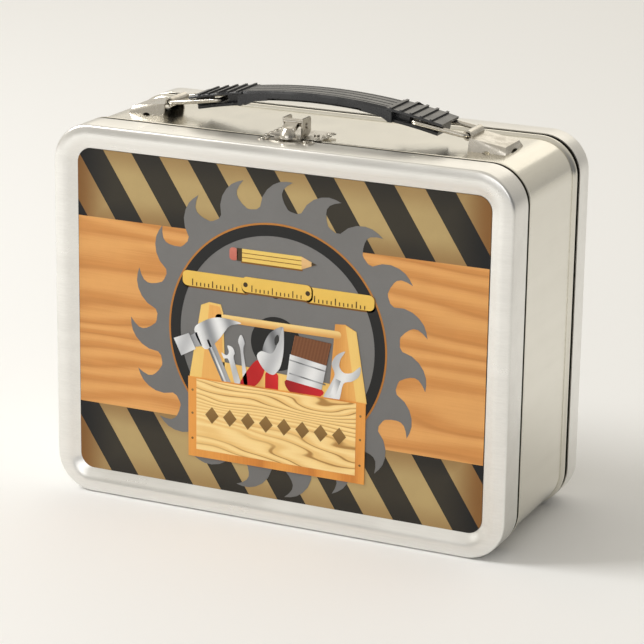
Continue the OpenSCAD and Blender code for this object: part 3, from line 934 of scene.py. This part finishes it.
    def build_tote(self) -> None:
        """The open wooden tote: two end boards, a round bar and a nailed front."""
        pale = TimberPrint("tote_board_print", 40.0, (1.0, 0.74, 0.33), (0.88, 0.56, 0.20),
                           (0.36, 0.17, 0.035), 0.85, (0.22, 1.0, 1.0), sway=0.32, swell=52.0)
        orange = TimberPrint("tote_post_print", 3.0, (0.83, 0.36, 0.075), (0.66, 0.235, 0.04),
                             (0.45, 0.15, 0.03), 0.35, turn=math.pi / 2)
        amber = TimberPrint("tote_end_print", 3.0, (0.88, 0.47, 0.13), (0.74, 0.33, 0.075),
                            (0.5, 0.2, 0.05), 0.35, turn=math.pi / 2)
        straw = TimberPrint("tote_edge_print", 3.0, (0.92, 0.62, 0.19), (0.84, 0.50, 0.13),
                            (0.55, 0.27, 0.07), 0.3, turn=math.pi / 2)
        bar = InkPrint("tote_bar_ink", (0.74, 0.37, 0.10), (0.95, 0.68, 0.27), (0.0, 1.0), (0.0908, 0.0942))
        brown = InkPrint("burnt_ink", (0.20, 0.105, 0.025), (0.30, 0.17, 0.05), (0, 1), (0.04, 0.052))
        ends = [(-43.0, 63.0), (-37.2, 97.4), (-33.2, 99.2), (-27.4, 98.8), (-26.2, 95.0), (-25.0, 63.0)]
        self.inlay("tote_end_left", ends, Layer.BACK, straw)
        self.inlay("tote_inside_left", [(-37.0, 63.0), (-33.0, 98.2), (-28.0, 97.8), (-27.0, 94.6),
                                       (-26.0, 63.0)], Layer.TOOL_LOW, amber)
        self.inlay("tote_end_right", [(26.0, 63.0), (28.6, 97.4), (33.4, 97.8), (38.8, 95.2), (44.4, 63.0)],
                   Layer.BACK, amber)
        self.inlay("tote_edge_right", [(39.4, 63.0), (33.6, 97.4), (38.8, 95.2), (44.4, 63.0)],
                   Layer.TOOL_LOW, straw)
        self.inlay("tote_back", [(-27.0, 63.0), (27.0, 63.0), (27.0, 69.6), (-26.5, 72.2)], Layer.BACK, straw)
        self.inlay("tote_bar", rounded_rect(30.8, 1.75, 1.7) + [0.8, 92.6], Layer.TOOL_LOW, bar)
        self.inlay("tote_front", [(-43.4, 25.4), (43.8, 25.4), (44.0, 63.2), (-43.6, 63.2)],
                   Layer.TOTE, orange)
        self.inlay("tote_board", [(-39.4, 29.0), (39.4, 29.0), (39.4, 62.6), (-39.4, 62.6)],
                   Layer.TOTE_TRIM, pale)
        diamond = np.array([(-3.4, 46.2), (0.0, 42.2), (3.4, 46.2), (0.0, 50.2)])
        self.inlay("tote_marks", [diamond + [x, 0] for x in np.linspace(-31.5, 31.5, 8)],
                   Layer.TOTE_MARK, brown)
        nails = [arc(x, z, 0.55, 0, 340, 17) for x in (-41.4, 41.6) for z in (34, 46, 57)]
        self.inlay("tote_nails", nails, Layer.TOTE_TRIM, brown)

    def build_tools(self) -> None:
        """Hammer, spanners, screwdriver, pliers and brush that stand in the tote."""
        bright = InkPrint("steel_ink", (0.30, 0.31, 0.33), (0.86, 0.87, 0.88), (1.0, 0.35), waves=520.0)
        light = InkPrint("pale_steel_ink", (0.52, 0.53, 0.55), (0.84, 0.85, 0.86), (1.0, -0.4), waves=430.0)
        shade = InkPrint("shaded_steel_ink", (0.16, 0.165, 0.175), (0.40, 0.41, 0.43), (1, 0.4), waves=700.0)
        red = InkPrint("red_grip_ink", (0.50, 0.008, 0.010), (0.85, 0.030, 0.030), (1.0, 0.6), (0.03, 0.052))
        dark_red = InkPrint("deep_red_ink", (0.28, 0.006, 0.008), (0.62, 0.012, 0.02), (1.0, 0.3),
                            (0.02, 0.045))
        bristle = InkPrint("bristle_ink", (0.085, 0.028, 0.010), (0.30, 0.115, 0.045), (1.0, 0.12),
                           waves=9000.0)
        hole = InkPrint("hole_ink", (0.02, 0.02, 0.02), (0.04, 0.04, 0.04), (0, 1), (0.07, 0.09))
        # Hammer
        self.inlay("hammer_shaft", bar_outline((-33.5, 82.0), (-23.6, 61.5), 2.1, 2.0), Layer.TOOL, shade)
        self.inlay("hammer_glint", bar_outline((-33.8, 81.6), (-24.6, 62.5), 0.5, 0.5),
                   Layer.TOOL_TRIM, light)
        self.inlay("hammer_head", flowing([(-40.6, 85.4), (-35.6, 90.2), (-28.0, 92.8), (-17.2, 91.6),
                                           (-23.0, 89.4), (-28.4, 82.4), (-35.2, 77.0)]),
                   Layer.TOOL_TRIM, bright)
        self.inlay("hammer_neck", bar_outline((-38.0, 81.4), (-42.4, 79.4), 3.4, 2.6), Layer.TOOL_TRIM, shade)
        self.inlay("hammer_face", bar_outline((-41.6, 79.9), (-49.0, 76.2), 3.9, 4.3), Layer.TOTE, light)
        # Small spanner and screwdriver
        self.inlay("small_spanner", flowing([(-26.9, 76.6), (-24.4, 75.6), (-23.2, 77.4), (-24.0, 80.2),
                                             (-21.4, 79.6), (-20.3, 77.0), (-20.8, 74.6), (-17.2, 63.0),
                                             (-20.0, 62.6), (-23.2, 73.4), (-25.6, 74.0)], 4),
                   Layer.TOOL, light)
        self.inlay("driver_blade", flowing([(-17.2, 86.2), (-15.4, 82.6), (-16.0, 78.6), (-13.8, 64.0),
                                            (-15.8, 64.0), (-17.4, 78.8), (-18.6, 83.0)], 4),
                   Layer.TOOL, light)
        # Pliers
        self.inlay("pliers_grip_left", flowing([(-9.8, 75.2), (-5.6, 71.2), (-10.0, 63.4), (-17.8, 62.8)], 6),
                   Layer.TOOL, red)
        self.inlay("pliers_grip_right", rounded_rect(3.2, 4.6, 1.4) + [-1.9, 66.2], Layer.TOOL, red)
        self.inlay("pliers_jaw_left", flowing([(-5.9, 83.4), (-2.6, 89.4), (3.3, 92.6), (1.4, 86.0),
                                               (-2.0, 79.0), (-6.2, 78.6)], 5), Layer.TOOL, shade)
        self.inlay("pliers_body", flowing([(-9.2, 77.0), (-7.2, 80.0), (-1.8, 79.8), (1.2, 85.6), (3.5, 92.6),
                                           (3.9, 83.0), (2.6, 75.0), (0.6, 71.4), (-1.6, 69.8),
                                           (-5.6, 71.6)], 5), Layer.TOOL_TRIM, light)
        self.inlay("pliers_eye", flowing([(-0.6, 86.8), (1.0, 88.8), (1.6, 86.0), (-0.2, 83.8)], 4),
                   Layer.TOTE, hole)
        # Brush
        self.inlay("bristles", [(9.2, 89.6), (26.8, 88.2), (24.5, 76.6), (7.2, 79.6)], Layer.TOOL, bristle)
        self.inlay("ferrule", [(7.0, 80.6), (24.8, 77.8), (22.6, 66.4), (5.4, 68.6)], Layer.TOOL_TRIM, light)
        ribs = [bar_outline((6.8, 80.4 - drop), (24.4, 77.6 - drop), 0.3, 0.3) for drop in (2.4, 8.6)]
        self.inlay("ferrule_ribs", ribs, Layer.TOTE, shade)
        self.inlay("brush_neck", flowing([(5.4, 68.6), (22.6, 66.4), (20.4, 62.6), (8.0, 62.6)], 4),
                   Layer.TOOL, dark_red)
        # Large spanner
        self.inlay("large_spanner", flowing([(33.6, 85.6), (29.4, 83.2), (27.3, 79.0), (28.8, 74.4),
                                             (26.4, 68.8), (23.6, 62.4), (30.6, 62.0), (33.0, 70.6),
                                             (37.2, 72.4), (40.6, 75.4), (41.0, 79.6), (37.2, 76.4),
                                             (33.2, 75.8), (31.0, 78.4), (31.6, 82.0)], 4),
                   Layer.TOOL_TRIM, light)
        self.inlay("spanner_groove", bar_outline((30.6, 72.2), (27.6, 63.4), 1.3, 1.3), Layer.TOTE, bright)

    def build(self) -> None:
        """Prints the whole picture."""
        self.dress_panel()
        self.build_plank()
        self.build_blade()
        self.build_signs()
        self.build_tote()
        self.build_tools()
        LOG.info("picture: %d printed pieces", self.made)


# ---------------------------------------------------------------- studio


@dataclass
class Studio:
    """Camera, soft lights and the pale sheet."""

    finishes: Finishes
    stand: Vector = field(default_factory=lambda: Vector((0.48572, -1.06434, 0.43164)))
    azimuth: float = 24.457
    elevation: float = 16.616
    roll: float = 0.867
    lens: float = 149.07
    floor_half: float = 4.0
    floor_drop: float = 0.0002
    floor_lines: int = 9
    bright_side: tuple = (-0.70, 0.36, 0.62)
    dim: tuple = (0.30, 0.30, 0.30)
    pale: tuple = (1.0, 0.95, 0.85)
    ground: tuple = (1.26, 1.23, 1.17)
    room_strength: float = 0.66
    spread: float = 0.55
    horizon: tuple = (-0.06, -0.005)

    def build_camera(self) -> None:
        """Places the camera: it looks down from the front right, with a slight roll."""
        az, el, roll = (math.radians(a) for a in (self.azimuth, self.elevation, self.roll))
        forward = Vector((-math.sin(az) * math.cos(el), math.cos(az) * math.cos(el), -math.sin(el)))
        level = Vector((math.cos(az), math.sin(az), 0))
        upright = level.cross(forward)
        right = level * math.cos(roll) + upright * math.sin(roll)
        up = right.cross(forward)
        data = bpy.data.cameras.new("studio_camera")
        data.lens = self.lens
        data.clip_end = 30
        camera = bpy.data.objects.new("studio_camera", data)
        bpy.context.scene.collection.objects.link(camera)
        turn = Matrix((right, up, -forward)).transposed().to_4x4()
        camera.matrix_world = Matrix.Translation(self.stand) @ turn
        bpy.context.scene.camera = camera

    def softbox(self, name: str, place: tuple, aim: tuple, size: tuple, watts: float, colour: tuple) -> None:
        """Adds a rectangular soft light.

        Args:
            name: the light's name.
            place: where it stands, in metres.
            aim: the point it faces.
            size: its width and height.
            watts: its power.
            colour: its colour.
        """
        data = bpy.data.lights.new(name, "AREA")
        data.shape = "RECTANGLE"
        data.size, data.size_y = size
        data.energy = watts
        data.color = colour
        lamp = bpy.data.objects.new(name, data)
        bpy.context.scene.collection.objects.link(lamp)
        lamp.location = place
        lamp.rotation_euler = (Vector(aim) - Vector(place)).to_track_quat("-Z", "Y").to_euler()

    def build_lights(self) -> None:
        """A large light from above left, a front fill and a warm back wall glow."""
        self.softbox("key_light", (-1.6, -0.66, 1.5), (0, 0, 0.08), (0.9, 0.9), 31, (1.0, 0.995, 0.985))
        self.softbox("front_fill", (0.4, -2.8, 1.1), (0, 0, 0.05), (2.4, 1.2), 13, (1.0, 0.99, 0.98))
        self.softbox("back_glow", (-0.6, 2.4, 1.5), (0, 0, 0.12), (2.2, 1.4), 6, (1.0, 0.94, 0.82))
        world = bpy.data.worlds.new("pale_room")
        world.use_nodes = True
        graph = Graph(world.node_tree)
        back = world.node_tree.nodes["Background"]
        ray = graph.add("ShaderNodeTexCoord").outputs["Generated"]
        side = graph.add("ShaderNodeVectorMath", {0: ray, 1: self.bright_side}, operation="DOT_PRODUCT")
        bright = graph.smooth(side.outputs["Value"], -self.spread, self.spread)
        walls = graph.mix(bright, self.dim, self.pale)
        _, _, rise = graph.split(ray)
        graph.link(graph.mix(graph.smooth(rise, *self.horizon), self.ground, walls), back, "Color")
        back.inputs["Strength"].default_value = self.room_strength
        bpy.context.scene.world = world

    def build_floor(self) -> None:
        """A wide flat sheet just under the box, with its far edge far behind."""
        count = self.floor_lines
        line = np.linspace(-self.floor_half, self.floor_half, count)
        grid = np.zeros((count, count, 3))
        grid[..., 0] = line[None, :]
        grid[..., 1] = line[:, None]
        grid[..., 2] = -self.floor_drop
        mesh = bpy.data.meshes.new("pale_floor")
        mesh.from_pydata(grid.reshape(-1, 3).tolist(), [], grid_faces(count, count, False, False).tolist())
        mesh.materials.append(self.finishes.get(PalePaper()))
        floor = bpy.data.objects.new("pale_floor", mesh)
        bpy.context.scene.collection.objects.link(floor)

    def build(self) -> None:
        """Sets the whole stage."""
        bpy.context.scene.view_settings.view_transform = "Standard"
        self.build_camera()
        self.build_lights()
        self.build_floor()
        LOG.info("studio: camera, lights and floor set")


# ---------------------------------------------------------------- box


@dataclass
class LunchBox:
    """All the metal and plastic of the box."""

    finishes: Finishes
    front_bead: float = -0.0288
    rear_bead: float = 0.0325

    def build(self) -> None:
        """Dresses every CAD node."""
        slots = {part["node"]: part["material_slot"] for part in frame["record"]["subparts"]}
        shell = PressedShell(self.finishes, slots)
        cover = BrushedTin("cover_tin")
        # Depth ranges of the band's seams, which get painted shade with a little grime.
        seams = ((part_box("front_cover")[1][1], self.front_bead), (self.rear_bead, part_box("rear_cover")[0][1]))
        band = BrushedTin("band_tin", (0.80, 0.775, 0.70), (0.77, 0.745, 0.67), 0.19, (1.0, 0.05, 1.0),
                          seams=seams)
        nickel = NickelPlate("nickel_plate")
        plastic = MouldedPlastic("black_plastic")
        shell.dress("front_cover", "lid", cover)
        shell.dress("rear_cover", "box", cover)
        shell.dress("body_band", "box", band)
        shell.dress("handle_grip", "handle", plastic, soften=0.0004)
        for side in ("left", "right"):
            shell.dress(f"bail_{side}", f"{side}_bail", nickel)
            shell.dress(f"bracket_{side}", "box", nickel, soften=0.0002)
            shell.dress(f"hinge_band_leaf_{side}", "box", nickel)
            shell.dress(f"hinge_cover_leaf_{side}", "lid", nickel)
            shell.dress(f"hinge_pin_{side}", "box", nickel)
        for node in ("latch_base", "latch_base_rivets", "latch_pin", "hinge_band_rivets"):
            shell.dress(node, "box", nickel, soften=0.0001)
        for node in ("keeper_plate", "keeper_knob", "keeper_rivets", "hinge_cover_rivets"):
            shell.dress(node, "lid", nickel, soften=0.0001)
        shell.dress("latch_hasp", "hasp", nickel, soften=0.00015)
        LOG.info("box: %d dressed nodes", shell.skins)


def main() -> None:
    """Builds the studio, the box and the picture."""
    logging.basicConfig(level=logging.INFO, format="%(message)s")
    finishes = Finishes(Effects())
    Studio(finishes).build()
    LunchBox(finishes).build()
    Picture(finishes).build()


if __name__ == "__main__":
    main()
